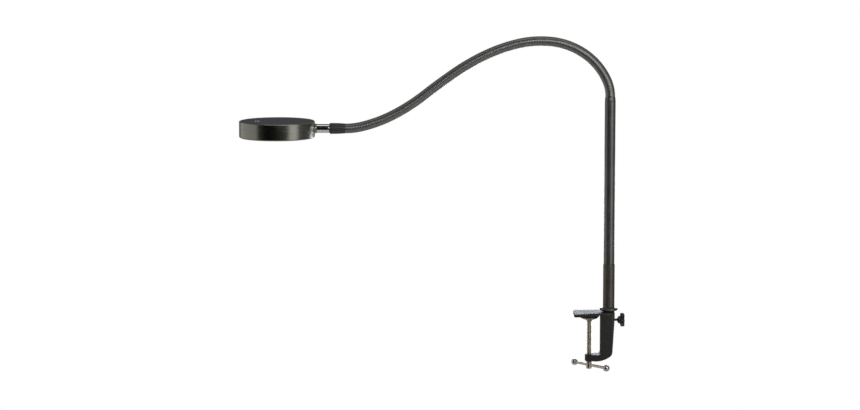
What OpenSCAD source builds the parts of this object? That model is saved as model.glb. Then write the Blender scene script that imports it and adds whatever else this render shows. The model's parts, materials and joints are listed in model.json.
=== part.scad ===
// Clamp-on LED lamp: a C-clamp with a thumb screw, a round pole, a bendable
// gooseneck and a flat round lamp head.
// Frame: origin on the desk face under the upper jaw, on the clamp screw axis.
// +Z up, -X from the pole towards the lamp head, Y across the clamp.

/* [Clamp] */
// Width of the upper jaw at its free end, along the desk edge
jaw_w = 54; // [50:1:58]
// Reach of the upper jaw past the clamp screw axis
jaw_reach = 28; // [24:1:34]
// Thickness of the cast plate of the upper jaw
jaw_t = 4.4; // [4:0.2:5]
// Thickness of the rubber pad under the upper jaw
jaw_pad_t = 2; // [1.6:0.1:2]
// Height of the throat, from the desk face to the lower arm
throat_h = 71.5; // [67.5:0.5:76]
// Inner face of the column, from the clamp screw axis
throat_x = 20.2; // [19.4:0.2:21]
// Radius of the clamp screw
screw_r = 4; // [3.5:0.25:4.25]
// Height of the pressure pad's face below the desk face
pad_gap = 2.5; // [2.3:0.1:3]
// Radius of the pressure pad
pad_r = 16; // [14.6:0.2:16.4]
// Length of the tommy bar between its ball centres
bar_len = 84; // [76:1:92]
// Angle of the tommy bar about the clamp screw
bar_angle = 50; // [0:5:90]
// Radius of the tommy bar's ball ends
ball_end_r = 6; // [5:0.25:6.25]
// Outer radius of the star knob
knob_r = 13; // [12:0.5:13.5]

/* [Pole] */
// Distance from the clamp screw axis to the pole axis
pole_x = 35; // [34.6:0.1:35.4]
// Outer radius of the pole tube
pole_r = 9.7; // [9.4:0.1:9.9]
// Outer radius of the lower sleeve
sleeve_r = 10.4; // [10:0.1:10.6]
// Height where the lower sleeve ends and the pole tube starts
sleeve_top = 93; // [88:1:98]
// Height of the pole's upper end, where its ferrule sits
pole_top = 389; // [340:1:420]
// Radius of the collar on top of the clamp
collar_r = 16.4; // [15:0.2:17]

/* [Gooseneck] */
// Outer radius of the gooseneck
neck_r = 8.7; // [8.3:0.05:8.8]
// Radius of the bore for the leads
neck_bore_r = 5.5; // [5:0.1:5.6]
// Length along the neck of its first and last arc; each link is twice that
neck_step = 31.5; // [30:0.5:34]

/* [Head] */
// Outer radius of the lamp head
head_r = 68; // [67:0.5:70]
// Height of the head above the stub axis
head_up = 13.5; // [13.5:0.1:14]
// Depth of the head below the stub axis
head_down = 16; // [16:0.1:17]
// Radius of the stub between neck and head
stub_r = 8; // [7.6:0.1:8.4]
// Visible length of the stub
stub_len = 23; // [20:1:28]
// Radius of the power button
button_r = 4.2; // [3.6:0.1:4.6]

/* [Hidden] */
$fn = 96;

// Turn of each arc of the neck, in degrees towards the head side: the fixed
// base, eight links and the end.
neck_turn = [25, 31, 28, 20, 12, 9, 3, -10, -14, -14];
neck_z0 = pole_top + 7;
ball_r = neck_r + 0.15;
socket_r = ball_r + 0.15;

jaw_z0 = jaw_pad_t;
jaw_z1 = jaw_pad_t + jaw_t;
boss_z = jaw_z1 + 1.75;
wash_z = boss_z + 0.05;
collar_z = wash_z + 0.6;
collar_z1 = collar_z + 5.6;
pin_r = 6;
bush_r = 7;
thumb_z = -8.5;
col_out = 45.5;
arm_z = -throat_h;
arm_bot = arm_z - 12;
bar_z = arm_bot - 7.7;
bar_off = 4;
screw_end = arm_bot - 14.8;
run = 0.05;

tip_x = neck_x(10);
tip_z = neck_z(10);
sleeve_len = 28;
head_x = tip_x - sleeve_len - stub_len - 3.6 - head_r;

// Heading of the neck's centre line at joint k, from straight up.
function heading(k) = k == 0 ? 0 : heading(k - 1) + neck_turn[k - 1];
function arc_len(k) = k == 0 || k == 9 ? neck_step : 2 * neck_step;
function bend_r(k) = arc_len(k) * 180 / (PI * neck_turn[k]);
function step_x(k) = neck_turn[k] == 0 ? -arc_len(k) * sin(heading(k))
    : bend_r(k) * (cos(heading(k + 1)) - cos(heading(k)));
function step_z(k) = neck_turn[k] == 0 ? arc_len(k) * cos(heading(k))
    : bend_r(k) * (sin(heading(k + 1)) - sin(heading(k)));
function neck_x(k) = k == 0 ? pole_x : neck_x(k - 1) + step_x(k - 1);
function neck_z(k) = k == 0 ? neck_z0 : neck_z(k - 1) + step_z(k - 1);

module at_neck(k) {
    translate([neck_x(k), 0, neck_z(k)]) rotate([0, -heading(k), 0]) children();
}
module at_head() { translate([head_x, 0, tip_z]) children(); }
module at_pole() { translate([pole_x, 0, 0]) children(); }
module along_x(x) { translate([x, 0, 0]) rotate([0, 90, 0]) children(); }
module along_y(y) { translate([0, y, 0]) rotate([-90, 0, 0]) children(); }

// Arc k of the neck as a solid rod of radius r, rising from joint k.
module bend(k, r) {
    t = neck_turn[k];
    rr = t == 0 ? 0 : abs(bend_r(k));
    at_neck(k) {
        if (t == 0)
            cylinder(r = r, h = arc_len(k), $fn = 48);
        else if (t > 0)
            translate([-rr, 0, 0]) rotate([90, 0, 0])
                rotate_extrude(angle = t, $fn = 360) translate([rr, 0]) circle(r, $fn = 48);
        else
            mirror([1, 0, 0]) translate([-rr, 0, 0]) rotate([90, 0, 0])
                rotate_extrude(angle = -t, $fn = 360) translate([rr, 0]) circle(r, $fn = 48);
    }
}
module tube(ro, ri, z0, z1) {
    translate([0, 0, z0]) difference() {
        cylinder(r = ro, h = z1 - z0);
        translate([0, 0, -1]) cylinder(r = ri, h = z1 - z0 + 2);
    }
}
module rod(r, z0, z1) { translate([0, 0, z0]) cylinder(r = r, h = z1 - z0); }

// A neck link: a ball at its start, one arc, a spherical socket at its end.
module neck_link(k) {
    difference() {
        union() {
            at_neck(k) sphere(r = ball_r);
            bend(k, neck_r);
        }
        at_neck(k) translate([0, 0, -12]) cylinder(r = neck_bore_r - 0.5, h = 12.4, $fn = 48);
        bend(k, neck_bore_r);
        if (k < 9) at_neck(k + 1) sphere(r = socket_r);
    }
}

module arm_plan() {
    polygon([[0, -7.6], [19, -17], [41, -17], [44, -15.8], [col_out, -13], [col_out, 13],
        [44, 15.8], [41, 17], [19, 17], [0, 7.6]]);
    circle(7.6);
}
module arm_side() {
    polygon([[17.4, jaw_z1], [col_out, jaw_z1], [col_out, -2], [41.7, arm_z + 6],
        [41.3, arm_z + 3], [40.4, arm_z + 0.8], [38.9, arm_z - 1.2], [36.6, arm_z - 3.2],
        [34, arm_z - 4.9], [31, arm_z - 6.5], [27.6, arm_z - 8], [23, arm_z - 9.6],
        [18, arm_z - 10.9], [13, arm_z - 11.7], [8, arm_bot], [-9, arm_bot],
        [-9, arm_z], [throat_x - 3.2, arm_z], [throat_x - 1.5, arm_z + 0.5],
        [throat_x - 0.5, arm_z + 1.5], [throat_x, arm_z + 3.2], [throat_x, -1], [17.9, 0.9],
        [17.4, jaw_z0]]);
}
// The upper jaw from above, cut off at x1: widest at its free end.
module jaw_plan(x1) {
    w = jaw_w / 2;
    intersection() {
        union() {
            polygon([[-jaw_reach, 4 - w], [-jaw_reach, w - 4], [4.6 - jaw_reach, w - 0.05],
                [17, w - 6], [30, w - 8], [38, 17], [43, 16], [col_out, 13], [col_out, -13],
                [43, -16], [38, -17], [30, 8 - w], [17, 6 - w], [4.6 - jaw_reach, 0.05 - w]]);
            for (s = [-1, 1]) translate([4 - jaw_reach, s * (w - 4)]) circle(4);
        }
        translate([-60, -40]) square([60 + x1, 80]);
    }
}

module clamp_frame() {
    color([0.16, 0.16, 0.17]) difference() {
        union() {
            intersection() {
                translate([0, jaw_w / 2, 0]) rotate([90, 0, 0]) linear_extrude(jaw_w) arm_side();
                translate([0, 0, -120]) linear_extrude(140) arm_plan();
            }
            translate([0, 0, jaw_z0]) linear_extrude(jaw_t) jaw_plan(60);
            at_pole() rod(10.4, 0, boss_z);
            rod(7.6, arm_bot - 0.4, arm_z);
        }
        translate([0, jaw_w, 0]) rotate([90, 0, 0]) linear_extrude(2 * jaw_w)
            polygon([[-jaw_reach - 1, jaw_z1 - 1.4], [16, jaw_z1 + 0.1], [16, jaw_z1 + 4],
                [-jaw_reach - 1, jaw_z1 + 4]]);
        at_pole() rod(bush_r, -24, 20);
        translate([0, 0, arm_bot - 2]) cylinder(r = screw_r + run, h = 16);
        translate([0, 0, thumb_z]) along_x(pole_x + 4) cylinder(r = 2.5 + run, h = 12);
    }
}
module jaw_pad() {
    color([0.09, 0.09, 0.09]) linear_extrude(jaw_pad_t) jaw_plan(16.6);
}
module socket_bush() {
    color([0.2, 0.2, 0.2]) difference() {
        at_pole() tube(bush_r, pin_r + run, -23, boss_z);
        translate([0, 0, thumb_z]) along_x(pole_x) cylinder(r = 2.1, h = 12);
    }
}
module pad_z() { translate([0, 0, -pad_gap]) children(); }
module pressure_pad() {
    color([0.13, 0.13, 0.13]) pad_z() difference() {
        union() {
            rotate_extrude() polygon([[0, -1.2], [pad_r - 0.5, -1.2], [pad_r, -1.7], [pad_r - 0.4, -2.4],
                [12.6, -3.8], [9.4, -4.9], [7, -5.8], [5.8, -6.4], [5.4, -7.2], [0, -7.2]]);
        }
        rod(screw_r + run, -9, -3.9);
    }
}
module pad_face() { color([0.08, 0.08, 0.08]) pad_z() rod(pad_r - 0.5, -1.2, 0); }
module clamp_screw() {
    color([0.62, 0.58, 0.52]) difference() {
        union() {
            rod(screw_r, arm_bot - 1.5, -pad_gap - 4);
            rotate_extrude() polygon([[0, arm_bot - 1.5], [4.5, arm_bot - 1.5], [5, arm_bot - 2.2],
                [5, screw_end + 0.8], [4.2, screw_end], [0, screw_end]]);
        }
        translate([0, 0, -pad_gap - 8.2]) tube(screw_r + 1, screw_r - 0.5, -0.55, 0.55);
        translate([0, 0, bar_z]) rotate([0, 0, -bar_angle]) along_x(-10) cylinder(r = 2.5 + run, h = 20);
    }
}
module screw_circlip() {
    color([0.6, 0.6, 0.6]) translate([0, 0, -pad_gap - 8.2]) tube(screw_r + 1.2, screw_r - 0.5, -0.5, 0.5);
}
module at_bar() { translate([0, 0, bar_z]) rotate([0, 0, -bar_angle]) children(); }
module tommy_bar() {
    color([0.6, 0.57, 0.52]) at_bar() along_x(bar_off - bar_len / 2) cylinder(r = 2.5, h = bar_len, $fn = 48);
}
module tommy_balls() {
    color([0.5, 0.5, 0.5]) at_bar() for (s = [-1, 1]) difference() {
        translate([bar_off + s * bar_len / 2, 0, 0]) sphere(r = ball_end_r);
        along_x(bar_off - bar_len / 2) cylinder(r = 2.5, h = bar_len, $fn = 48);
    }
}
module at_thumb() { translate([0, 0, thumb_z]) along_x(pole_x) children(); }
module pin_shoe() {
    color([0.8, 0.8, 0.78]) at_thumb() { rod(2, pin_r + run, 7.4); rod(2.4, 7.4, 8.4); }
}
module thumb_screw() {
    color([0.35, 0.35, 0.36]) at_thumb() rod(2.5, 8.45, 25);
}
module thumb_knob() {
    color([0.1, 0.1, 0.1]) at_thumb() difference() {
        union() {
            rod(4.4, 15.6, 17.2);
            rod(7, 17.2, 21.2);
            translate([0, 0, 21.2]) linear_extrude(7.4) {
                circle(knob_r - 4.6);
                for (a = [0 : 60 : 300]) rotate(a + 30) {
                    translate([knob_r - 3.1, 0]) circle(3.1, $fn = 48);
                    translate([0, -2.7]) square([knob_r - 3.1, 5.4]);
                }
            }
        }
        rod(2.5, 10, 25);
    }
}
module pole_pin() {
    color([0.7, 0.7, 0.7]) at_pole() {
        rod(pin_r, -21.5, collar_z1);
        rod(7.95, collar_z1, 38);
    }
}
module thrust_washer() { color([0.85, 0.85, 0.82]) at_pole() tube(10, pin_r, wash_z, collar_z); }
module pole_collar() {
    color([0.12, 0.12, 0.12]) at_pole() rotate_extrude() polygon([[pin_r, collar_z],
        [collar_r - 1.8, collar_z], [collar_r - 0.7, collar_z + 0.5], [collar_r - 0.1, collar_z + 1.6],
        [collar_r, collar_z + 2.6], [collar_r - 0.3, collar_z1 - 2], [collar_r - 1, collar_z1 - 0.9],
        [collar_r - 2, collar_z1 - 0.2], [collar_r - 3, collar_z1], [pin_r, collar_z1]]);
}
jack_z = 52;
module lower_sleeve() {
    color([0.12, 0.11, 0.1]) at_pole() difference() {
        tube(sleeve_r, 8, collar_z1, sleeve_top);
        translate([0, 0, jack_z]) along_y(4) cylinder(r = 5.2, h = 12, $fn = 64);
    }
}
module dc_bezel() {
    color([0.15, 0.15, 0.15]) at_pole() translate([0, 0, jack_z]) along_y(7.2) tube(5.2, 2.75, 0, 3.6);
}
module dc_jack() {
    color([0.1, 0.1, 0.1]) at_pole() translate([0, 0, jack_z]) difference() {
        along_y(-3) cylinder(r = 4.6, h = 10.1, $fn = 64);
        along_y(-0.8) cylinder(r = 2.75, h = 12, $fn = 64);
    }
}
module dc_pin() {
    color([0.8, 0.75, 0.6]) at_pole() translate([0, 0, jack_z]) along_y(-0.8) cylinder(r = 1, h = 9, $fn = 32);
}
module pole_joiner() { color([0.5, 0.5, 0.5]) at_pole() tube(7.95, 4, 66, 120); }
module pole_tube() { color([0.13, 0.13, 0.13]) at_pole() tube(pole_r, 8, sleeve_top, pole_top); }
module pole_leads() {
    color([0.7, 0.1, 0.1]) at_pole() for (s = [-1, 1])
        translate([s * 1.3, 0, 57]) cylinder(r = 0.9, h = pole_top - 57 + 10, $fn = 24);
}
module pole_ferrule() {
    color([0.14, 0.14, 0.14]) at_pole() rotate_extrude() polygon([[3.5, pole_top - 12],
        [7.95, pole_top - 12], [7.95, pole_top], [pole_r, pole_top], [pole_r - 0.3, pole_top + 2.6],
        [neck_r + 0.15, neck_z0], [5, neck_z0], [5, neck_z0 + 6], [3.5, neck_z0 + 6]]);
}
module neck_base() {
    color([0.1, 0.1, 0.1]) difference() {
        bend(0, neck_r);
        bend(0, neck_bore_r);
        at_neck(1) sphere(r = socket_r);
    }
}
module neck_link_1() { color([0.11, 0.11, 0.11]) neck_link(1); }
module neck_link_2() { color([0.13, 0.13, 0.13]) neck_link(2); }
module neck_link_3() { color([0.11, 0.11, 0.11]) neck_link(3); }
module neck_link_4() { color([0.13, 0.13, 0.13]) neck_link(4); }
module neck_link_5() { color([0.11, 0.11, 0.11]) neck_link(5); }
module neck_link_6() { color([0.13, 0.13, 0.13]) neck_link(6); }
module neck_link_7() { color([0.11, 0.11, 0.11]) neck_link(7); }
module neck_link_8() { color([0.13, 0.13, 0.13]) neck_link(8); }
module neck_end() { color([0.11, 0.11, 0.11]) neck_link(9); }
module neck_sleeve() {
    color([0.12, 0.12, 0.12]) at_neck(10) rotate_extrude() polygon([[3, -7], [5, -7], [5, 0],
        [neck_r + 0.15, 0], [9.4, 7], [9.8, 15], [9.8, sleeve_len - 0.8], [9.2, sleeve_len], [5.1, sleeve_len],
        [5.1, sleeve_len - 2], [6.6, sleeve_len - 2], [6.6, 9], [3, 9]]);
}
module friction_bush() {
    color([0.75, 0.6, 0.3]) at_neck(10) tube(6.6, 5.05, sleeve_len - 14, sleeve_len - 2);
}
module stub_tube() {
    color([0.85, 0.85, 0.87]) at_neck(10) rotate_extrude() polygon([[3, 11], [5, 11], [5, 12], [4.4, 12],
        [4.4, 13], [5, 13], [5, sleeve_len + 0.1], [stub_r - 0.5, sleeve_len + 0.1],
        [stub_r, sleeve_len + 0.7], [stub_r, sleeve_len + stub_len], [5, sleeve_len + stub_len],
        [5, sleeve_len + stub_len + 14.6], [3, sleeve_len + stub_len + 14.6]]);
}
module stub_circlip() { color([0.6, 0.6, 0.6]) at_neck(10) tube(6.2, 4.4, 12.05, 12.95); }
module stub_nut() {
    color([0.7, 0.7, 0.7]) at_head() along_x(head_r - 9.6) rotate(30) difference() {
        cylinder(r = 8.1, h = 3.6, $fn = 6);
        translate([0, 0, -1]) cylinder(r = 5, h = 6);
    }
}
module head_housing() {
    color([0.3, 0.3, 0.29]) at_head() difference() {
        union() {
            rotate_extrude($fn = 180) polygon([[head_r - 7.5, -head_down], [head_r - 1.2, -head_down],
                [head_r, -head_down + 1.2], [head_r, head_up - 1.2], [head_r - 1.2, head_up],
                [head_r - 3.7, head_up], [head_r - 3.7, 10.4], [head_r - 6, 10.4], [head_r - 6, 9.6],
                [head_r - 2.5, 7], [head_r - 2.5, -14.5], [head_r - 7.5, -14.5]]);
            along_x(head_r - 1.6) cylinder(r1 = 11, r2 = stub_r + 0.4, h = 5.2);
            along_x(head_r - 6) cylinder(r = 8, h = 5);
        }
        along_x(head_r - 8) cylinder(r = 5, h = 14);
    }
}
module top_cover() {
    color([0.28, 0.27, 0.3]) at_head() difference() {
        rod(head_r - 3.8, 10.4, 12.9, $fn = 180);
        translate([-35, 0, 9]) cylinder(r = button_r + 0.1, h = 6);
    }
}
module posts() { for (a = [60 : 120 : 300]) rotate(a) translate([46, 0, 0]) children(); }
module standoffs() { color([0.8, 0.7, 0.4]) at_head() posts() tube(3, 1.5, -2.8, 10.4); }
module heatsink() {
    color([0.75, 0.75, 0.77]) at_head() difference() {
        union() {
            rod(52, -5.8, -2.8);
            intersection() {
                rod(50, -3, 2.8);
                for (y = [-44 : 11 : 44]) translate([-52, y - 0.8, -3.2]) cube([104, 1.6, 6.2]);
            }
        }
        posts() { rod(1.6, -8, 0); rod(4.2, -2.8, 6); }
    }
}
module led_board() {
    color([0.9, 0.9, 0.9]) at_head() difference() { rod(52, -7.4, -5.8); posts() rod(1.6, -9, -4); }
}
module leds() {
    color([0.95, 0.9, 0.5]) at_head() for (ring = [[14, 6], [27, 12], [38, 18]], i = [0 : ring[1] - 1])
        rotate(i * 360 / ring[1]) translate([ring[0] - 1.5, -1.5, -8.3]) cube([3, 3, 0.9]);
}
module board_screws() {
    color([0.6, 0.6, 0.6]) at_head() posts() { rod(2.7, -9.2, -7.4); rod(1.5, -7.4, 3); }
}
module reflector() {
    color([0.97, 0.97, 0.97]) at_head() rotate_extrude($fn = 120) polygon([[53, -8.4], [65, -8.4],
        [65, -9.2], [64, -12], [62.6, -12]]);
}
module diffuser() { color([0.93, 0.93, 0.9]) at_head() rod(64.8, -14.5, -12, $fn = 180); }
module gap_pad() { color([0.5, 0.55, 0.7]) at_head() translate([-36, -15, 2.8]) cube([60, 30, 2.2]); }
module driver_board() { color([0.1, 0.4, 0.2]) at_head() translate([-42, -20, 5]) cube([72, 40, 1.6]); }
module driver_parts() {
    color([0.2, 0.2, 0.22]) at_head() {
        translate([-22, -14, 6.6]) cube([16, 13, 3.2]);
        translate([0, 2, 6.6]) cube([12, 10, 2.4]);
        translate([-20, 6, 6.6]) cube([7, 7, 1.6]);
        for (x = [4, 14, 24]) translate([x, -12, 6.6]) cylinder(r = 3, h = 3.2, $fn = 40);
    }
}
module button_switch() {
    color([0.15, 0.15, 0.15]) at_head() translate([-35, 0, 0]) {
        translate([-3, -3, 6.6]) cube([6, 6, 2.2]);
        rod(1.7, 8.8, 9.3);
    }
}
module power_button() {
    color([0.85, 0.85, 0.87]) at_head() translate([-35, 0, 0]) rotate_extrude() polygon([[0, 10],
        [5.4, 10], [5.4, 10.35], [button_r, 10.35], [button_r, 13.5], [button_r - 0.5, 13.9], [0, 13.9]]);
}
module head_leads() {
    color([0.75, 0.1, 0.1]) at_head() for (s = [-1.3, 1.3]) translate([0, s, 0]) {
        along_x(55) cylinder(r = 0.9, h = 30, $fn = 24);
        translate([55, 0, 0]) cylinder(r = 0.9, h = 8, $fn = 24);
        translate([0, 0, 8]) along_x(26) cylinder(r = 0.9, h = 29, $fn = 24);
        translate([55, 0, 0]) sphere(r = 0.9, $fn = 24);
        translate([55, 0, 8]) sphere(r = 0.9, $fn = 24);
    }
}

clamp_frame();
jaw_pad();
socket_bush();
pressure_pad();
pad_face();
clamp_screw();
screw_circlip();
tommy_bar();
tommy_balls();
pin_shoe();
thumb_screw();
thumb_knob();
pole_pin();
thrust_washer();
pole_collar();
lower_sleeve();
dc_jack();
dc_bezel();
dc_pin();
pole_joiner();
pole_tube();
pole_leads();
pole_ferrule();
neck_base();
neck_link_1();
neck_link_2();
neck_link_3();
neck_link_4();
neck_link_5();
neck_link_6();
neck_link_7();
neck_link_8();
neck_end();
neck_sleeve();
friction_bush();
stub_tube();
stub_circlip();
stub_nut();
head_housing();
top_cover();
standoffs();
heatsink();
led_board();
leds();
board_screws();
reflector();
diffuser();
gap_pad();
driver_board();
driver_parts();
button_switch();
power_button();
head_leads();
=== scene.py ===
import bpy, bmesh, json, math
import numpy as np
from mathutils import Matrix, Vector


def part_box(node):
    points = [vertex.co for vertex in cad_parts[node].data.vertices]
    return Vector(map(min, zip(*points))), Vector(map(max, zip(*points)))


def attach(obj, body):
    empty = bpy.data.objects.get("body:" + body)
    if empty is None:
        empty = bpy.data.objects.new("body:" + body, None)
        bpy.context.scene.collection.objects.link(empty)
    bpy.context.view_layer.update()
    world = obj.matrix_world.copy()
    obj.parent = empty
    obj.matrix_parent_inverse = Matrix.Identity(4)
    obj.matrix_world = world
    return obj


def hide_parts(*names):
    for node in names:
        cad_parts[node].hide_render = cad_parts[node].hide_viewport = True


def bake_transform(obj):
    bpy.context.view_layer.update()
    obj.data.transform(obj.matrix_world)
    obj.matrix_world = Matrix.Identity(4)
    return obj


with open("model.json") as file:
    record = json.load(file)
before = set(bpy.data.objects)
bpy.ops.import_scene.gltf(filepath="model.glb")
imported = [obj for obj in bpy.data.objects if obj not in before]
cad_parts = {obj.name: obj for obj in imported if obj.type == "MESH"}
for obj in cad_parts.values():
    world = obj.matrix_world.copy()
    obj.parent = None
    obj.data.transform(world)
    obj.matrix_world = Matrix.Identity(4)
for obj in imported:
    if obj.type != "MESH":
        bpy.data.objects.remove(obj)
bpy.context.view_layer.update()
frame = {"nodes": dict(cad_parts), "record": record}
MM = 0.001
nodes = frame["nodes"]

# ------------------------------------------------------------- frames, in mm
STEP = 31.5
TURN = [25, 31, 28, 20, 12, 9, 3, -10, -14, -14]
LENS = [STEP] + [2 * STEP] * 8 + [STEP]
POLE_X = 35.0
POLE_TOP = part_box("pole_tube")[1].z / MM
NECK_Z0 = POLE_TOP + 7.0
SLEEVE_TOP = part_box("pole_tube")[0].z / MM
COLLAR = [v.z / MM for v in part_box("pole_collar")]
COLLAR_R = (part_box("pole_collar")[1].y) / MM
JOINTS = [(POLE_X, NECK_Z0, 0.0)]
for t, l in zip(TURN, LENS):
    x, z, h = JOINTS[-1]
    a = math.radians(t)
    r = l / a
    JOINTS.append((x + r * (math.cos(h + a) - math.cos(h)), z + r * (math.sin(h + a) - math.sin(h)), h + a))
S_AT = [0.0]
for l in LENS:
    S_AT.append(S_AT[-1] + l)
TIP_X, TIP_Z, _ = JOINTS[-1]
SLEEVE_LEN, STUB_LEN = 28.0, 23.0
HEAD_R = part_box("head_housing")[1].y / MM
HEAD_X = TIP_X - SLEEVE_LEN - STUB_LEN - 3.6 - HEAD_R


def T(x, y, z):
    return Matrix.Translation((x, y, z))


def RY(deg):
    return Matrix.Rotation(math.radians(deg), 4, "Y")


M_POLE = T(POLE_X, 0, 0)
M_HEAD = T(HEAD_X, 0, TIP_Z)
M_TIP = T(TIP_X, 0, TIP_Z) @ RY(-90)
M_THUMB = T(0, 0, -8.5) @ T(POLE_X, 0, 0) @ RY(90)
BAR_OFF = 4.0
BAR_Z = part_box("tommy_bar")[0].z / MM + 2.5
M_BAR = T(0, 0, BAR_Z) @ Matrix.Rotation(math.radians(-50), 4, "Z") @ RY(90) @ T(0, 0, BAR_OFF)


def neck_frame(s):
    """Centre line point and heading of the neck at arc length s, in mm."""
    s = min(max(s, 0.0), S_AT[-1])
    k = 0
    while k < len(LENS) - 1 and s > S_AT[k + 1]:
        k += 1
    x, z, h = JOINTS[k]
    r = LENS[k] / math.radians(TURN[k])
    a = (s - S_AT[k]) / r
    return x + r * (math.cos(h + a) - math.cos(h)), z + r * (math.sin(h + a) - math.sin(h)), h + a


# ------------------------------------------------------------- mesh helpers
def link(name, verts, faces, mats, mat_index=None, sharp=35.0, smooth=True):
    me = bpy.data.meshes.new(name)
    me.from_pydata([tuple(v) for v in verts], [], faces)
    me.update()
    if smooth:
        me.polygons.foreach_set("use_smooth", [True] * len(me.polygons))
    for m in (mats if isinstance(mats, (list, tuple)) else [mats]):
        me.materials.append(m)
    if mat_index is not None:
        me.polygons.foreach_set("material_index", mat_index)
    ob = bpy.data.objects.new(name, me)
    bpy.context.scene.collection.objects.link(ob)
    bm = bmesh.new()
    bm.from_mesh(me)
    bmesh.ops.recalc_face_normals(bm, faces=bm.faces)
    bm.to_mesh(me)
    bm.free()
    me.set_sharp_from_angle(angle=math.radians(sharp))
    return ob


def rounded(points, n=5):
    """Profile with round corners. points are (r, z) or (r, z, radius)."""
    out = []
    for i, p in enumerate(points):
        rad = p[2] if len(p) > 2 else 0
        if rad <= 0 or i in (0, len(points) - 1):
            out.append((p[0], p[1]))
            continue
        a, b, c = Vector(points[i - 1][:2]), Vector(p[:2]), Vector(points[i + 1][:2])
        u, v = (a - b), (c - b)
        lu, lv = u.length, v.length
        u.normalize(); v.normalize()
        ang = math.acos(max(-1, min(1, u.dot(v))))
        d = min(rad / math.tan(ang / 2), lu * 0.49, lv * 0.49)
        rr = d * math.tan(ang / 2)
        bis = (u + v)
        if bis.length < 1e-6:
            out.append((p[0], p[1]))
            continue
        bis.normalize()
        cen = b + bis * (rr / math.sin(ang / 2))
        s0, s1 = b + u * d - cen, b + v * d - cen
        a0 = math.atan2(s0.y, s0.x)
        da = math.atan2(s1.y, s1.x) - a0
        while da > math.pi: da -= 2 * math.pi
        while da < -math.pi: da += 2 * math.pi
        for j in range(n + 1):
            t = a0 + da * j / n
            out.append((cen.x + rr * math.cos(t), cen.y + rr * math.sin(t)))
    return out


def lathe(name, prof, M, mats, seg=96, closed=True, wob=None, index=None, sharp=35.0):
    """Spins a (r, z) profile about local Z. closed joins its last point to its first."""
    rings, verts, faces, mi = [], [], [], []
    for i, (r, z) in enumerate(prof):
        if r < 1e-6:
            rings.append([len(verts)])
            verts.append(M @ Vector((0, 0, z)) * MM)
            continue
        ring = []
        for j in range(seg):
            a = 2 * math.pi * j / seg
            rr, zz = (r, z) if wob is None else wob(r, z, a)
            ring.append(len(verts))
            verts.append(M @ Vector((rr * math.cos(a), rr * math.sin(a), zz)) * MM)
        rings.append(ring)
    pairs = [(i, i + 1) for i in range(len(prof) - 1)]
    if closed:
        pairs.append((len(prof) - 1, 0))
    for i, i2 in pairs:
        A, B = rings[i], rings[i2]
        if len(A) == 1 and len(B) == 1:
            continue
        for j in range(seg):
            j2 = (j + 1) % seg
            if len(A) == 1:
                faces.append((A[0], B[j], B[j2]))
            elif len(B) == 1:
                faces.append((A[j], B[0], A[j2]))
            else:
                faces.append((A[j], B[j], B[j2], A[j2]))
            mi.append(0 if index is None else index(i))
    return link(name, verts, faces, mats, mi if index else None, sharp=sharp)


def grid_tube(name, rows, seg, radius, place, mats, caps=True, sharp=60.0):
    """Tube of rings at the values in rows: radius(row, angle) and place(row) give its shape."""
    verts, faces = [], []
    for s in rows:
        O, U, V = place(s)
        for j in range(seg):
            a = 2 * math.pi * j / seg
            r = radius(s, a)
            verts.append((O + U * (r * math.cos(a)) + V * (r * math.sin(a))) * MM)
    n = len(rows)
    for i in range(n - 1):
        for j in range(seg):
            j2 = (j + 1) % seg
            faces.append((i * seg + j, i * seg + j2, (i + 1) * seg + j2, (i + 1) * seg + j))
    if caps:
        faces.append(tuple(range(seg)))
        faces.append(tuple((n - 1) * seg + j for j in range(seg)))
    return link(name, verts, faces, mats, sharp=sharp)


def put(ob, body, slot, *replaced):
    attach(ob, body)
    if replaced:
        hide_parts(*replaced)
    return ob


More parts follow.
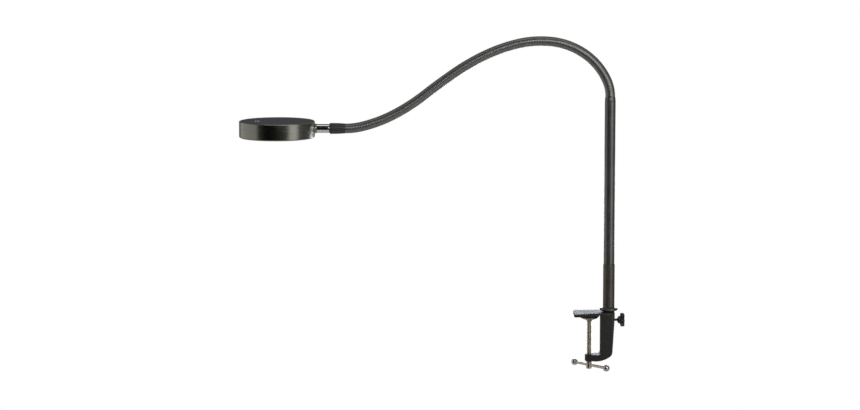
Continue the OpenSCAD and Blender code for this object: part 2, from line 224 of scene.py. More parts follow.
# ------------------------------------------------------------- materials
def material(name, base, dark=None, metallic=0.0, rough=0.4, rough_to=None, scale=120.0, stretch=(1, 1, 1),
             bump=0.0, bump_scale=900.0, bump_stretch=(1, 1, 1), spec=0.5, coat=0.0, coat_rough=0.2,
             ring=None, wear=None, detail=4.0, sheen=0.0, transmission=0.0, ior=1.5, emit=0.0, speck=None, aniso=0.0):
    m = bpy.data.materials.new(name)
    m.use_nodes = True
    nt = m.node_tree
    N, L = nt.nodes, nt.links
    N.clear()
    out = N.new("ShaderNodeOutputMaterial")
    p = N.new("ShaderNodeBsdfPrincipled")
    L.new(p.outputs["BSDF"], out.inputs["Surface"])
    p.inputs["Metallic"].default_value = metallic
    p.inputs["Specular IOR Level"].default_value = spec
    p.inputs["IOR"].default_value = ior
    p.inputs["Coat Weight"].default_value = coat
    p.inputs["Coat Roughness"].default_value = coat_rough
    p.inputs["Sheen Weight"].default_value = sheen
    p.inputs["Transmission Weight"].default_value = transmission
    p.inputs["Anisotropic"].default_value = aniso
    co = N.new("ShaderNodeTexCoord")
    src = co.outputs["Object"]
    if ring is not None:
        # distance from an upright axis through (x, y): turned or spun finish
        sub = N.new("ShaderNodeVectorMath"); sub.operation = "SUBTRACT"
        sub.inputs[1].default_value = (ring[0], ring[1], 0)
        L.new(src, sub.inputs[0])
        sep = N.new("ShaderNodeSeparateXYZ"); L.new(sub.outputs[0], sep.inputs[0])
        cm = N.new("ShaderNodeCombineXYZ")
        L.new(sep.outputs["X"], cm.inputs["X"]); L.new(sep.outputs["Y"], cm.inputs["Y"])
        ln = N.new("ShaderNodeVectorMath"); ln.operation = "LENGTH"
        L.new(cm.outputs[0], ln.inputs[0])
        rc = N.new("ShaderNodeCombineXYZ")
        L.new(ln.outputs["Value"], rc.inputs["X"]); L.new(sep.outputs["Z"], rc.inputs["Z"])
        ring_src = rc.outputs[0]
    def mapped(s, st):
        mp = N.new("ShaderNodeMapping")
        mp.inputs["Scale"].default_value = st
        L.new(s, mp.inputs["Vector"])
        return mp.outputs["Vector"]
    def noise(s, sc, det=4.0, st=(1, 1, 1), ro=0.55):
        n = N.new("ShaderNodeTexNoise")
        n.inputs["Scale"].default_value = sc
        n.inputs["Detail"].default_value = det
        n.inputs["Roughness"].default_value = ro
        L.new(mapped(s, st), n.inputs["Vector"])
        return n.outputs["Fac"]
    base = list(base) + [1.0] if len(base) == 3 else list(base)
    dk = [c * 0.72 for c in base[:3]] + [1.0] if dark is None else list(dark) + [1.0]
    f = noise(src, scale, detail, stretch)
    ramp = N.new("ShaderNodeValToRGB")
    ramp.color_ramp.elements[0].position = 0.32
    ramp.color_ramp.elements[0].color = dk
    ramp.color_ramp.elements[1].position = 0.68
    ramp.color_ramp.elements[1].color = base
    L.new(f, ramp.inputs["Fac"])
    col = ramp.outputs["Color"]
    if speck is not None:
        sf = noise(src, speck[0], 2.0)
        r2 = N.new("ShaderNodeValToRGB")
        r2.color_ramp.elements[0].position = speck[2]; r2.color_ramp.elements[0].color = (0, 0, 0, 1)
        r2.color_ramp.elements[1].position = speck[2] + 0.06; r2.color_ramp.elements[1].color = (1, 1, 1, 1)
        L.new(sf, r2.inputs["Fac"])
        mx = N.new("ShaderNodeMix"); mx.data_type = "RGBA"
        L.new(r2.outputs["Color"], mx.inputs["Factor"])
        L.new(col, mx.inputs["A"]); mx.inputs["B"].default_value = list(speck[1]) + [1]
        col = mx.outputs["Result"]
    if wear is not None:
        # lighter metal where the surface turns sharply, broken up by noise
        geo = N.new("ShaderNodeNewGeometry")
        wn = noise(src, wear[1], 5.0)
        ad = N.new("ShaderNodeMath"); ad.operation = "MULTIPLY_ADD"
        L.new(wn, ad.inputs[0]); ad.inputs[1].default_value = 0.16; L.new(geo.outputs["Pointiness"], ad.inputs[2])
        wr = N.new("ShaderNodeValToRGB")
        wr.color_ramp.elements[0].position = wear[2]; wr.color_ramp.elements[0].color = (0, 0, 0, 1)
        wr.color_ramp.elements[1].position = wear[2] + 0.05; wr.color_ramp.elements[1].color = (1, 1, 1, 1)
        L.new(ad.outputs[0], wr.inputs["Fac"])
        mx = N.new("ShaderNodeMix"); mx.data_type = "RGBA"
        L.new(wr.outputs["Color"], mx.inputs["Factor"])
        L.new(col, mx.inputs["A"]); mx.inputs["B"].default_value = list(wear[0]) + [1]
        col = mx.outputs["Result"]
    L.new(col, p.inputs["Base Color"])
    rt = rough * 1.3 if rough_to is None else rough_to
    mr = N.new("ShaderNodeMapRange")
    mr.inputs["From Min"].default_value = 0.3; mr.inputs["From Max"].default_value = 0.7
    mr.inputs["To Min"].default_value = rough; mr.inputs["To Max"].default_value = min(rt, 1.0)
    L.new(noise(src, scale * 1.7, 5.0, stretch), mr.inputs["Value"])
    L.new(mr.outputs["Result"], p.inputs["Roughness"])
    if bump > 0:
        b = N.new("ShaderNodeBump")
        b.inputs["Strength"].default_value = bump
        b.inputs["Distance"].default_value = 0.0002
        s = src if ring is None else ring_src
        L.new(noise(s, bump_scale, 3.0, bump_stretch), b.inputs["Height"])
        L.new(b.outputs["Normal"], p.inputs["Normal"])
    if emit > 0:
        p.inputs["Emission Strength"].default_value = emit
        p.inputs["Emission Color"].default_value = base
    return m


HX, HZ = HEAD_X * MM, TIP_Z * MM
MAT = {
    "cast_black": material("cast_black", (0.024, 0.0222, 0.0192), (0.013, 0.0118, 0.010), rough=0.42, rough_to=0.6, scale=260,
                           bump=0.22, bump_scale=1500, spec=0.5, speck=(2600, (0.07, 0.07, 0.068), 0.66)),
    "collar_black": material("collar_black", (0.16, 0.155, 0.142), (0.11, 0.106, 0.097), metallic=0.8, rough=0.24, rough_to=0.36, scale=240,
                             bump=0.3, bump_scale=1300),
    "rubber_black": material("rubber_black", (0.022, 0.022, 0.022), rough=0.7, rough_to=0.9, scale=300, bump=0.5, bump_scale=2500),
    "nylon_black": material("nylon_black", (0.03, 0.03, 0.03), rough=0.45, rough_to=0.6, scale=300, bump=0.2, bump_scale=1600),
    "nylon_white": material("nylon_white", (0.72, 0.71, 0.68), (0.62, 0.61, 0.57), rough=0.4, rough_to=0.55, scale=200, bump=0.15),
    "steel_nickel": material("steel_nickel", (0.64, 0.59, 0.50), (0.44, 0.39, 0.31), metallic=1.0, rough=0.15, rough_to=0.36, scale=420,
                             bump=0.25, bump_scale=1800, bump_stretch=(1, 1, 0.2)),
    "steel_dark": material("steel_dark", (0.30, 0.29, 0.28), (0.2, 0.19, 0.18), metallic=1.0, rough=0.25, rough_to=0.4, scale=400, bump=0.2),
    "ball_metal": material("ball_metal", (0.58, 0.55, 0.50), (0.46, 0.43, 0.38), metallic=1.0, rough=0.10, rough_to=0.18, scale=300, bump=0.05, bump_scale=900),
    "knob_black": material("knob_black", (0.028, 0.028, 0.029), rough=0.26, rough_to=0.42, scale=250, bump=0.25, bump_scale=1400),
    "pole_black": material("pole_black", (0.17, 0.168, 0.163), (0.135, 0.133, 0.129), metallic=0.85, rough=0.30, rough_to=0.42, scale=90,
                           bump=0.22, bump_scale=1600, bump_stretch=(1, 1, 0.25), stretch=(1, 1, 0.3)),
    "sleeve_brown": material("sleeve_brown", (0.135, 0.122, 0.102), (0.10, 0.091, 0.077), metallic=0.85, rough=0.36, rough_to=0.5, scale=110,
                             bump=0.35, bump_scale=1500, bump_stretch=(1, 1, 0.35), stretch=(1, 1, 0.4)),
    "neck_black": material("neck_black", (0.235, 0.231, 0.222), (0.19, 0.187, 0.18), metallic=0.9, rough=0.28, rough_to=0.38, scale=160,
                           bump=0.25, bump_scale=1700),
    "neck_sleeve": material("neck_sleeve", (0.085, 0.085, 0.085), (0.05, 0.05, 0.05), metallic=0.55, rough=0.38, rough_to=0.6, scale=380,
                            bump=0.8, bump_scale=1100),
    "chrome_bright": material("chrome_bright", (0.86, 0.86, 0.88), (0.80, 0.80, 0.82), metallic=1.0, rough=0.04, rough_to=0.09, scale=200, bump=0.02, bump_scale=600),
    "gunmetal": material("gunmetal", (0.25, 0.245, 0.215), (0.215, 0.21, 0.185), metallic=1.0, rough=0.20, rough_to=0.26, scale=60, stretch=(1, 1, 8),
                         ring=(HX, 0), bump=0.30, bump_scale=2400, bump_stretch=(1, 1, 1)),
    "cover_grey": material("cover_grey", (0.115, 0.11, 0.132), (0.10, 0.095, 0.116), metallic=0.4, rough=0.36, rough_to=0.48, scale=120,
                           ring=(HX, 0), bump=0.35, bump_scale=1900, spec=0.35),
    "alu_plain": material("alu_plain", (0.62, 0.62, 0.64), metallic=1.0, rough=0.35, scale=200, bump=0.2, bump_stretch=(1, 8, 1)),
    "brass_pin": material("brass_pin", (0.72, 0.53, 0.24), metallic=1.0, rough=0.25, scale=300, bump=0.1),
    "board_white": material("board_white", (0.8, 0.8, 0.79), rough=0.35, scale=400, bump=0.15),
    "board_green": material("board_green", (0.03, 0.2, 0.08), rough=0.35, scale=500, bump=0.2),
    "led_yellow": material("led_yellow", (0.85, 0.72, 0.2), rough=0.25, scale=900, bump=0.1),
    "reflector_white": material("reflector_white", (0.86, 0.86, 0.86), (0.8, 0.8, 0.8), rough=0.22, scale=200, bump=0.05),
    "diffuser_opal": material("diffuser_opal", (0.83, 0.83, 0.81), (0.78, 0.78, 0.76), rough=0.35, rough_to=0.45, scale=90, bump=0.35, bump_scale=1400, coat=0.15),
    "pad_blue": material("pad_blue", (0.35, 0.4, 0.55), rough=0.6, scale=400, bump=0.3),
    "button_silver": material("button_silver", (0.78, 0.78, 0.8), (0.7, 0.7, 0.72), metallic=1.0, rough=0.14, rough_to=0.22, scale=300, ring=(HX - 0.035, 0), bump=0.12, bump_scale=3000),
    "lead_red": material("lead_red", (0.4, 0.02, 0.02), rough=0.4, scale=500, bump=0.1),
}
for s in frame["record"]["subparts"]:
    ob = nodes[s["node"]]
    ob.data.materials.clear()
    ob.data.materials.append(MAT[s["material_slot"]])
    ob.data.polygons.foreach_set("use_smooth", [True] * len(ob.data.polygons))
    ob.data.set_sharp_from_angle(angle=math.radians(30))

# ------------------------------------------------------------- gooseneck cover
PITCH = 2.9
NECK_R = 8.77


def neck_radius(s, a):
    ph = (s / PITCH + a / (2 * math.pi)) % 1.0
    d = abs(ph - 0.5) * 2.0            # 0 on the crown, 1 in the groove
    rib = -0.50 * max(0.0, (d - 0.45) / 0.55) ** 2.2
    ends = min(s, S_AT[-1] - s)
    fade = min(1.0, max(0.0, ends / 3.0))
    return NECK_R + rib * fade - 0.12 * (1 - fade)


def neck_place(s):
    x, z, h = neck_frame(s)
    return Vector((x, 0, z)), Vector((math.cos(h), 0, math.sin(h))), Vector((0, 1, 0))


NECK_NODES = ["neck_link_%d" % k for k in range(1, 9)] + ["neck_end"]
for k in range(1, 10):
    s0, s1 = (k - 1) * 2 * STEP, k * 2 * STEP
    nrow = int(round((s1 - s0) / (PITCH / 7.0)))
    rows = [s0 + (s1 - s0) * i / nrow for i in range(nrow + 1)]
    ob = grid_tube("gooseneck_hose_%d" % k, rows, 44, neck_radius, neck_place, MAT["neck_black"], caps=False, sharp=80)
    a, b = neck_place(s0 + 7)[0] * MM, neck_place(s1 - 7)[0] * MM
    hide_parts(NECK_NODES[k - 1], *(["neck_base"] if k == 1 else []))
    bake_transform(ob)

# ------------------------------------------------------------- pole
put(lathe("pole_tube_skin", rounded([(8.0, SLEEVE_TOP), (9.2, SLEEVE_TOP), (9.65, SLEEVE_TOP + 0.5, 0.3), (9.7, SLEEVE_TOP + 1.2),
        (9.7, POLE_TOP - 1.0), (9.66, POLE_TOP - 0.5, 0.2), (9.25, POLE_TOP), (8.0, POLE_TOP)]), M_POLE, MAT["pole_black"], seg=96),
    "pole", "pole_black", "pole_tube")
put(lathe("pole_ferrule_skin", rounded([(3.5, POLE_TOP - 12), (7.95, POLE_TOP - 12), (7.95, POLE_TOP), (9.3, POLE_TOP, 0.2), (9.7, POLE_TOP + 0.5, 0.3),
        (9.6, POLE_TOP + 2.2, 1.0), (9.15, POLE_TOP + 5.2, 1.2), (9.0, NECK_Z0 - 0.2, 0.2), (8.6, NECK_Z0), (5, NECK_Z0), (5, NECK_Z0 + 6), (3.5, NECK_Z0 + 6)]),
        M_POLE, MAT["pole_black"], seg=96), "pole", "pole_black", "pole_ferrule")
z1 = COLLAR[1]
put(lathe("lower_sleeve_skin", rounded([(8.0, z1), (10.4, z1), (10.4, SLEEVE_TOP - 2.2), (10.45, SLEEVE_TOP - 1.6, 0.4), (10.35, SLEEVE_TOP - 0.5, 0.4),
        (9.8, SLEEVE_TOP), (8.0, SLEEVE_TOP)]), M_POLE, MAT["sleeve_brown"], seg=128), "pole", "sleeve_brown", "lower_sleeve")
R = COLLAR_R
c0, c1 = COLLAR[0], z1
put(lathe("pole_collar_skin", rounded([(6.0, c0), (R - 2.2, c0, 0.3), (R - 0.8, c0 + 0.5, 0.9), (R, c0 + 2.2, 1.6), (R - 0.25, c1 - 2.1, 1.2),
        (R - 1.3, c1 - 0.7, 1.2), (R - 3.0, c1 - 0.05, 0.9), (12.3, c1 - 0.1, 0.5), (11.0, c1 + 0.5, 0.6), (10.5, c1 + 1.3, 0.3), (10.42, c1 + 1.35),
        (10.42, c1 - 0.3), (6.0, c1 - 0.3)], n=6), M_POLE, MAT["collar_black"], seg=128), "pole", "cast_black", "pole_collar")

# ------------------------------------------------------------- clamp casting
def cast_from(node, name, mat, voxel, passes, noise_amp, body, slot):
    src = nodes[node]
    me = src.data.copy()
    ob = bpy.data.objects.new(name, me)
    bpy.context.scene.collection.objects.link(ob)
    me.materials.clear(); me.materials.append(mat)
    bm = bmesh.new(); bm.from_mesh(me)
    bmesh.ops.remove_doubles(bm, verts=bm.verts, dist=1e-6)
    bm.to_mesh(me); bm.free()
    md = ob.modifiers.new("r", "REMESH"); md.mode = "VOXEL"; md.voxel_size = voxel; md.use_smooth_shade = True
    sm = ob.modifiers.new("s", "SMOOTH"); sm.factor = 0.5; sm.iterations = passes
    dg = bpy.context.evaluated_depsgraph_get()
    new = bpy.data.meshes.new_from_object(ob.evaluated_get(dg))
    ob.modifiers.clear()
    old = ob.data
    ob.data = new
    bpy.data.meshes.remove(old)
    from mathutils import noise as mn
    co = np.zeros(len(new.vertices) * 3); new.vertices.foreach_get("co", co); co = co.reshape(-1, 3)
    nor = np.zeros(len(new.vertices) * 3); new.vertices.foreach_get("normal", nor); nor = nor.reshape(-1, 3)
    if noise_amp > 0:
        d = np.array([mn.noise(Vector(c) * 420) + 0.6 * mn.noise(Vector(c) * 1100) for c in co])
        co = co + nor * (d * noise_amp - 0.2 * noise_amp)[:, None]
    l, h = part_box(node)
    co = np.clip(co, np.array(l), np.array(h))
    new.vertices.foreach_set("co", co.reshape(-1)); new.update()
    new.materials.clear(); new.materials.append(mat)
    new.polygons.foreach_set("use_smooth", [True] * len(new.polygons))
    return put(ob, body, slot, node)


cast_from("clamp_frame", "clamp_casting", MAT["cast_black"], 0.0007, 5, 0.00006, "clamp", "cast_black")

# ------------------------------------------------------------- clamp screw, bar, pad
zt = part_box("clamp_screw")[1].z / MM
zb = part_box("clamp_screw")[0].z / MM
head_z = zb + 13.3


def screw_thread(name, z0, z1, r, minor, pitch, M, mat, seg=36, per=8, lead=1.5):
    n = int((z1 - z0) / pitch * per)
    rows = [z0 + (z1 - z0) * i / n for i in range(n + 1)]
    def rad(z, a):
        ph = (z / pitch - a / (2 * math.pi)) % 1.0
        d = abs(ph - 0.5) * 2
        w = min(1.0, max(0.0, (d - 0.12) / 0.76))
        f = min(1.0, (z - z0) / lead, (z1 - z) / lead)
        return (r - (r - minor) * w) * f + minor * (1 - f) if f < 1 else r - (r - minor) * w
    def place(z):
        return M @ Vector((0, 0, z)), M.to_3x3() @ Vector((1, 0, 0)), M.to_3x3() @ Vector((0, 1, 0))
    return grid_tube(name, rows, seg, rad, place, mat, sharp=50)


put(screw_thread("clamp_screw_thread", head_z, zt - 2.6, 3.98, 3.42, 1.25, Matrix.Identity(4), MAT["steel_nickel"]), "screw", "steel_nickel", "clamp_screw")
put(lathe("clamp_screw_tip", rounded([(0, zt - 3.0), (3.3, zt - 3.0), (3.3, zt - 1.0, 0.6), (2.2, zt), (0, zt)]), Matrix.Identity(4), MAT["steel_nickel"], seg=48, closed=False), "screw", "steel_nickel")

# screw head: a bullet-ended barrel, cross-drilled for the bar
def barrel_with_hole(name, M, r, z0, z1, zc, hole_r, az, mat, seg=96):
    prof = rounded([(0, z0), (r - 0.9, z0, 0.9), (r, z0 + 1.6, 1.2), (r, zc - hole_r - 0.6), (r, zc + hole_r + 0.6), (r, z1 - 0.9, 0.5), (r - 0.8, z1, 0.2), (0, z1)], n=5)
    ob = lathe(name, prof, M, mat, seg=seg, closed=False)
    cut = lathe(name + "_cut", [(0, -20), (hole_r, -20), (hole_r, 20), (0, 20)], T(0, 0, zc) @ Matrix.Rotation(az, 4, "Z") @ RY(90), mat, seg=48, closed=False)
    md = ob.modifiers.new("b", "BOOLEAN"); md.operation = "DIFFERENCE"; md.object = cut; md.solver = "EXACT"
    dg = bpy.context.evaluated_depsgraph_get()
    new = bpy.data.meshes.new_from_object(ob.evaluated_get(dg))
    ob.modifiers.clear()
    ob.data = new
    new.polygons.foreach_set("use_smooth", [True] * len(new.polygons))
    new.set_sharp_from_angle(angle=math.radians(35))
    bpy.data.objects.remove(cut)
    return ob


put(barrel_with_hole("clamp_screw_head", Matrix.Identity(4), 4.95, zb, head_z + 0.6, BAR_Z, 2.55, math.radians(-50), MAT["steel_nickel"]), "screw", "steel_nickel")
BAR_HALF = 42.0
put(lathe("tommy_bar_rod", rounded([(0, -BAR_HALF), (2.5, -BAR_HALF), (2.5, BAR_HALF), (0, BAR_HALF)]), M_BAR, MAT["steel_nickel"], seg=48, closed=False), "bar", "steel_nickel", "tommy_bar")
for s, nm in ((-1, "near"), (1, "far")):
    prof = []
    n = 40
    for i in range(n + 1):
        t = math.pi * i / n
        prof.append((6.0 * math.sin(t), -6.0 * math.cos(t)))
    prof = [(r, z) for r, z in prof if not (z < 0 and r < 3.3)]
    prof = [(2.52, -6.55), (2.9, -6.45), (3.15, -6.1)] + [(max(r, 3.2) if z < -4.5 else r, z) for r, z in prof]
    M = M_BAR @ T(0, 0, s * BAR_HALF) @ (Matrix.Identity(4) if s > 0 else Matrix.Rotation(math.pi, 4, "X"))
    ob = lathe("tommy_ball_" + nm, prof, M, MAT["ball_metal"], seg=64, closed=False, sharp=60)
    put(ob, "bar", "ball_metal", *(["tommy_balls"] if s > 0 else []))

# pressure pad: a pressed dish with its hub
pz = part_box("pad_face")[1].z / MM
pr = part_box("pressure_pad")[1].y / MM
put(lathe("pressure_dish", rounded([(0, pz - 1.2), (pr - 0.7, pz - 1.2, 0.2), (pr, pz - 1.6, 0.3), (pr - 0.4, pz - 2.4, 0.5), (12.6, pz - 3.8, 3), (9.4, pz - 4.9, 3),
        (7.0, pz - 5.8, 2), (5.8, pz - 6.4, 0.8), (5.4, pz - 7.2, 0.3), (4.06, pz - 7.2), (4.06, pz - 3.95), (0, pz - 3.95)], n=6), Matrix.Identity(4), MAT["steel_nickel"], seg=96, closed=False),
    "pad", "steel_nickel", "pressure_pad")

# ------------------------------------------------------------- thumb screw and star knob
put(screw_thread("thumb_screw_thread", 8.5, 17.6, 2.48, 2.05, 0.8, M_THUMB, MAT["steel_dark"], seg=28), "thumb", "steel_dark", "thumb_screw")


def star_knob():
    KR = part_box("thumb_knob")[1].x / MM
    n = 240
    def outline(shrink):
        pts = []
        for i in range(n):
            a = 2 * math.pi * i / n
            c = math.cos(6 * (a - math.radians(30)))
            r = 9.65 + 3.35 * math.copysign(abs(c) ** 0.72, c)
            pts.append((r - shrink, a))
        return pts
    z0, z1 = 21.2, 28.6
    levels = [(z0, 8.0), (z0, 1.3), (z0 + 0.25, 0.6), (z0 + 0.8, 0.15), (z0 + 1.5, 0), (z1 - 2.0, 0), (z1 - 1.1, 0.25), (z1 - 0.45, 0.8), (z1 - 0.1, 1.6), (z1, 2.6)]
    verts, faces = [], []
    for z, sh in levels:
        for r, a in outline(0):
            rr = max(r - sh, 1.0)
            if sh == 8.0:
                rr = 3.0
            verts.append(M_THUMB @ Vector((rr * math.cos(a), rr * math.sin(a), z)) * MM)
    for i in range(len(levels) - 1):
        for j in range(n):
            j2 = (j + 1) % n
            faces.append((i * n + j, i * n + j2, (i + 1) * n + j2, (i + 1) * n + j))
    base = (len(levels) - 1) * n
    # face: round recess in the middle
    ringr = [(5.4, z1), (5.2, z1 - 0.25), (5.0, z1 - 0.9), (2.0, z1 - 0.95)]
    prev = [base + j for j in range(n)]
    for r, z in ringr:
        cur = []
        for j in range(n):
            a = 2 * math.pi * j / n
            cur.append(len(verts))
            verts.append(M_THUMB @ Vector((r * math.cos(a), r * math.sin(a), z)) * MM)
        for j in range(n):
            j2 = (j + 1) % n
            faces.append((prev[j], prev[j2], cur[j2], cur[j]))
        prev = cur
    faces.append(tuple(prev))
    faces.append(tuple(range(n)))
    ob = link("star_knob", verts, faces, MAT["knob_black"], sharp=40)
    return ob


put(star_knob(), "thumb", "knob_black", "thumb_knob")
put(lathe("knob_hub", rounded([(2.5, 15.6), (3.9, 15.6, 0.4), (4.4, 16.4, 0.4), (4.4, 17.3, 0.2), (6.4, 17.25, 0.4), (7.0, 18.0, 0.5), (7.0, 21.3), (2.5, 21.3)]), M_THUMB, MAT["knob_black"], seg=72), "thumb", "knob_black")

# ------------------------------------------------------------- neck end sleeve and stub
put(lathe("neck_end_sleeve", rounded([(3, -7), (5, -7), (5, 0), (8.85, 0, 0.1), (8.95, 1.2, 0.6), (9.15, 4.5, 1.5), (9.5, 9.0, 3), (9.7, 15.0, 3), (9.8, 20.0, 3), (9.8, 26.6, 0.6),
        (9.3, 27.9, 0.5), (8.8, 28.0), (5.1, 28), (5.1, 26), (6.6, 26), (6.6, 9), (3, 9)]), M_TIP, MAT["neck_sleeve"], seg=96), "neck_tip", "neck_black", "neck_sleeve")
SL, ST = SLEEVE_LEN, SLEEVE_LEN + STUB_LEN
put(lathe("chrome_stub", rounded([(3, 11), (5, 11), (5, SL + 0.1), (7.3, SL + 0.1, 0.2), (8.0, SL + 0.9, 0.4), (8.0, SL + 2.6), (7.75, SL + 2.9, 0.1), (7.75, SL + 3.4, 0.1), (8.0, SL + 3.7),
        (8.0, ST), (5, ST), (5, ST + 14.6), (3, ST + 14.6)]), M_TIP, MAT["chrome_bright"], seg=96), "head", "chrome_bright", "stub_tube")

# ------------------------------------------------------------- head
hb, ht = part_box("head_housing")[0].z / MM - TIP_Z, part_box("head_housing")[1].z / MM - TIP_Z
HR = HEAD_R
ring_prof = rounded([(HR - 7.5, hb + 0.15), (HR - 6.6, hb, 0.3), (HR - 1.6, hb, 1.2), (HR, hb + 1.6, 1.3), (HR, ht - 1.0, 0.7), (HR - 1.1, ht - 0.02, 0.6), (HR - 3.1, ht, 0.3),
        (HR - 3.7, ht - 0.5, 0.2), (HR - 3.7, 10.4), (HR - 6, 10.4), (HR - 6, 9.6), (HR - 2.5, 7), (HR - 2.5, -14.5), (HR - 7.3, -14.5, 0.1), (HR - 7.5, -14.8)], n=6)
put(lathe("head_ring", ring_prof, M_HEAD, MAT["gunmetal"], seg=256), "head", "gunmetal", "head_housing")
M_BOSS = M_HEAD @ RY(90)
boss = []
x0, x1 = HR - 3.4, HR + 3.6
for i in range(15):
    t = i / 14
    boss.append((8.35 + 5.6 * (1 - t) ** 2.6, x0 + (x1 - 0.5 - x0) * t))
put(lathe("head_boss", [(5.0, x0)] + boss + [(8.2, x1 - 0.15), (7.7, x1), (5.0, x1)], M_BOSS, MAT["gunmetal"], seg=96), "head", "gunmetal")
bp = rounded([(0, 10.0), (5.4, 10.0), (5.4, 10.35), (4.2, 10.35), (4.2, 13.2, 0.1), (3.9, 13.75, 0.35), (3.1, 13.9, 0.4), (1.8, 13.62, 1.0), (0, 13.55)], n=5)
put(lathe("button_cap", bp, M_HEAD @ T(-35, 0, 0), MAT["button_silver"], seg=64, closed=False), "button", "button_silver", "power_button")
put(lathe("button_bezel", rounded([(4.32, 12.6), (4.32, 13.1, 0.15), (4.9, 13.2, 0.2), (5.6, 12.92, 0.2), (5.7, 12.6)]), M_HEAD @ T(-35, 0, 0), MAT["button_silver"], seg=64), "head", "button_silver")
# opal diffuser, slightly domed, with its groove at the rim
dp = [(0, -12.0), (64.8, -12.0), (64.8, -14.45), (60.4, -14.45)] + [(60.3 * math.cos(t), -14.45 - 0.75 * math.sin(t)) for t in [math.pi / 2 * i / 12 for i in range(1, 13)]]
dp[-1] = (0, dp[-1][1])
put(lathe("opal_diffuser", dp, M_HEAD, MAT["diffuser_opal"], seg=160, closed=False), "head", "diffuser_opal", "diffuser")

# ------------------------------------------------------------- inlet bezel
MJ = M_POLE @ T(0, 0, 52) @ Matrix.Rotation(math.radians(-90), 4, "X")
put(lathe("inlet_bezel", rounded([(2.75, 7.2), (5.2, 7.2), (5.2, 10.3, 0.4), (4.8, 10.8, 0.3), (3.3, 10.8, 0.3), (2.75, 10.2, 0.2)]), MJ, MAT["nylon_black"], seg=64), "pole", "nylon_black", "dc_bezel")

# ------------------------------------------------------------- camera, floor, light
F_PX, PITCH_DEG, DIST = 3000.0, 7.55, 5.4
aim = Vector((-0.288, 0.0, 0.2007))
pt = math.radians(PITCH_DEG)
cam_d = bpy.data.cameras.new("cam")
cam = bpy.data.objects.new("cam", cam_d)
bpy.context.scene.collection.objects.link(cam)
cam_d.sensor_width = 36.0
cam_d.lens = F_PX * 36.0 / 860.0
cam_d.clip_end = 200
cam.location = aim + Vector((0, -math.cos(pt), math.sin(pt))) * DIST
cam.rotation_euler = (math.radians(90) - pt, 0, 0)
bpy.context.scene.camera = cam
bpy.context.scene.view_settings.view_transform = "Standard"

FLOOR_R, FLOOR_Z = 1.5, -0.6
me = bpy.data.meshes.new("floor")
me.from_pydata([(FLOOR_R * math.cos(2 * math.pi * i / 128) - 0.25, FLOOR_R * math.sin(2 * math.pi * i / 128), FLOOR_Z) for i in range(128)], [], [tuple(range(128))])
floor = bpy.data.objects.new("floor", me)
bpy.context.scene.collection.objects.link(floor)
fm = bpy.data.materials.new("floor_pale"); fm.use_nodes = True
fb = fm.node_tree.nodes["Principled BSDF"]
fb.inputs["Base Color"].default_value = (0.90, 0.90, 0.90, 1)
fb.inputs["Roughness"].default_value = 0.9
fb.inputs["Specular IOR Level"].default_value = 0.1
me.materials.append(fm)

# World: white as the camera sees it; to everything else a dark room with soft panels
w = bpy.data.worlds.new("studio"); bpy.context.scene.world = w
w.use_nodes = True
nt = w.node_tree; N, L = nt.nodes, nt.links
N.clear()
wo = N.new("ShaderNodeOutputWorld")
mixs = N.new("ShaderNodeMixShader")
lp = N.new("ShaderNodeLightPath")
b1 = N.new("ShaderNodeBackground"); b2 = N.new("ShaderNodeBackground")
b2.inputs["Color"].default_value = (1, 1, 1, 1); b2.inputs["Strength"].default_value = 1.0
L.new(lp.outputs["Is Camera Ray"], mixs.inputs["Fac"])
L.new(b1.outputs[0], mixs.inputs[1]); L.new(b2.outputs[0], mixs.inputs[2])
L.new(mixs.outputs[0], wo.inputs["Surface"])
tc = N.new("ShaderNodeTexCoord")
sp = N.new("ShaderNodeSeparateXYZ"); L.new(tc.outputs["Generated"], sp.inputs[0])
at = N.new("ShaderNodeMath"); at.operation = "ARCTAN2"
ng = N.new("ShaderNodeMath"); ng.operation = "MULTIPLY"; ng.inputs[1].default_value = -1.0
L.new(sp.outputs["Y"], ng.inputs[0])
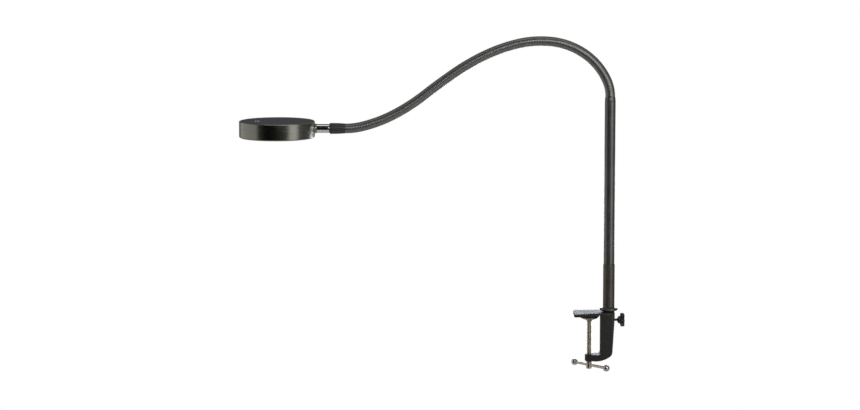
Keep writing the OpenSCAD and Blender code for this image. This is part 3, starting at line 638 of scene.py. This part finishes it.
# azimuth seen from the lamp: 0 straight towards the viewer, + to the right, in turns from -0.5 to 0.5
L.new(sp.outputs["X"], at.inputs[0]); L.new(ng.outputs[0], at.inputs[1])
az = N.new("ShaderNodeMapRange")
az.inputs["From Min"].default_value = -math.pi; az.inputs["From Max"].default_value = math.pi
L.new(at.outputs[0], az.inputs["Value"])
ra = N.new("ShaderNodeValToRGB"); ra.color_ramp.interpolation = "EASE"
cr = ra.color_ramp
def stops(cr, pts):
    while len(cr.elements) > 1:
        cr.elements.remove(cr.elements[-1])
    cr.elements[0].position = pts[0][0]; cr.elements[0].color = (*[pts[0][1]] * 3, 1)
    for p, v in pts[1:]:
        e = cr.elements.new(p); e.color = (v, v, v, 1)
def deg(a):
    return 0.5 + a / 360.0
stops(cr, [(0.0, 0.10), (deg(-150), 0.22), (deg(-115), 0.16), (deg(-75), 0.10), (deg(-50), 0.05), (deg(-34), 0.004), (deg(-6), 0.003), (deg(16), 0.04), (deg(40), 0.13), (deg(60), 0.24),
           (deg(97), 0.16), (deg(140), 0.30), (deg(165), 0.16), (1.0, 0.10)])
L.new(az.outputs["Result"], ra.inputs["Fac"])
el = N.new("ShaderNodeMapRange")
el.inputs["From Min"].default_value = -1.0; el.inputs["From Max"].default_value = 1.0
L.new(sp.outputs["Z"], el.inputs["Value"])
re_ = N.new("ShaderNodeValToRGB"); re_.color_ramp.interpolation = "EASE"
stops(re_.color_ramp, [(0.0, 1.0), (0.42, 1.0), (0.52, 1.0), (0.70, 1.0), (1.0, 1.2)])
L.new(el.outputs["Result"], re_.inputs["Fac"])
mm = N.new("ShaderNodeMix"); mm.data_type = "RGBA"; mm.blend_type = "MULTIPLY"; mm.inputs["Factor"].default_value = 1.0
L.new(ra.outputs["Color"], mm.inputs["A"]); L.new(re_.outputs["Color"], mm.inputs["B"])
L.new(mm.outputs["Result"], b1.inputs["Color"])
b1.inputs["Strength"].default_value = 1.0


def area(name, loc, target, size, size_y, power, col=(1, 1, 1)):
    d = bpy.data.lights.new(name, "AREA")
    d.shape = "RECTANGLE"; d.size = size; d.size_y = size_y; d.energy = power; d.color = col
    o = bpy.data.objects.new(name, d)
    bpy.context.scene.collection.objects.link(o)
    o.location = loc
    o.rotation_euler = (Vector(target) - Vector(loc)).to_track_quat("-Z", "Y").to_euler()
    return o


def panel(name, loc, target, w, h, radiance, col=(1, 1, 1)):
    o = area(name, loc, target, w, h, radiance * math.pi * w * h, col)
    o.visible_camera = False
    return o


panel("right", (1.60, -1.60, 0.25), (-0.1, 0, 0.20), 1.4, 3.0, 1.05, (1.0, 0.99, 0.96))
panel("left", (-2.25, 0.45, 0.35), (-0.563, 0.45, 0.25), 3.0, 3.0, 0.55, (1.0, 0.99, 0.94))
panel("front_right", (0.48, -2.1, 1.35), (-0.08, 0, 0.45), 1.9, 0.9, 2.9)
panel("top", (-0.2, -0.1, 2.5), (-0.2, 0, 0.3), 2.4, 1.0, 0.8)
panel("back_low", (0.06, 0.62, 0.11), (0.02, 0, 0.06), 0.5, 0.18, 6.5, (0.88, 0.93, 1.0))
